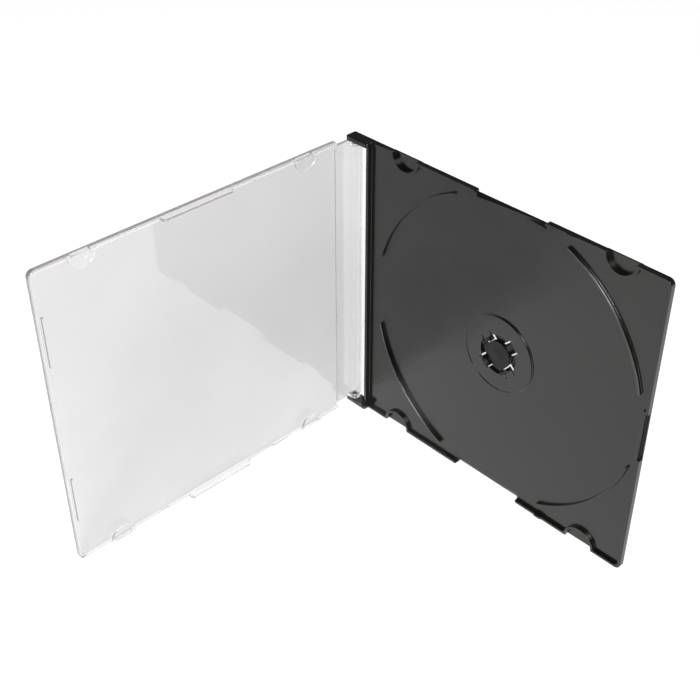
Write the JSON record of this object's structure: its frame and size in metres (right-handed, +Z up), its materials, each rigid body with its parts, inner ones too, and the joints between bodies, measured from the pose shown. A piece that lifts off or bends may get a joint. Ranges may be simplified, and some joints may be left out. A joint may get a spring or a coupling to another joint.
{
  "type": "slim cd case",
  "caption": "Slim hinged disc case standing open like a book: black tray with a springy hub and a ring of ribs, clear lid with half-moon booklet tabs.",
  "frame": {"origin": "middle of the open case's footprint, on the surface it stands on", "axes": "+Z up along the hinge; the tray stands along +X with its back facing +Y, and the open lid stands along -Y with its front facing -X"},
  "size_m": [0.142, 0.142, 0.125],
  "materials": {
    "black_plastic": "glossy moulded black polystyrene",
    "clear_plastic": "polished clear polystyrene"
  },
  "bodies": {
    "tray_body": {"tray": "black_plastic"},
    "lid_body": {"lid": "clear_plastic"}
  },
  "joints": [
    {"name": "lid_hinge", "type": "hinge", "parent": "tray_body", "child": "lid_body", "pos_m": [-0.0684, 0.0684, 0.0625], "axis": [0, 0, -1], "range_deg": [-90, 90]}
  ]
}
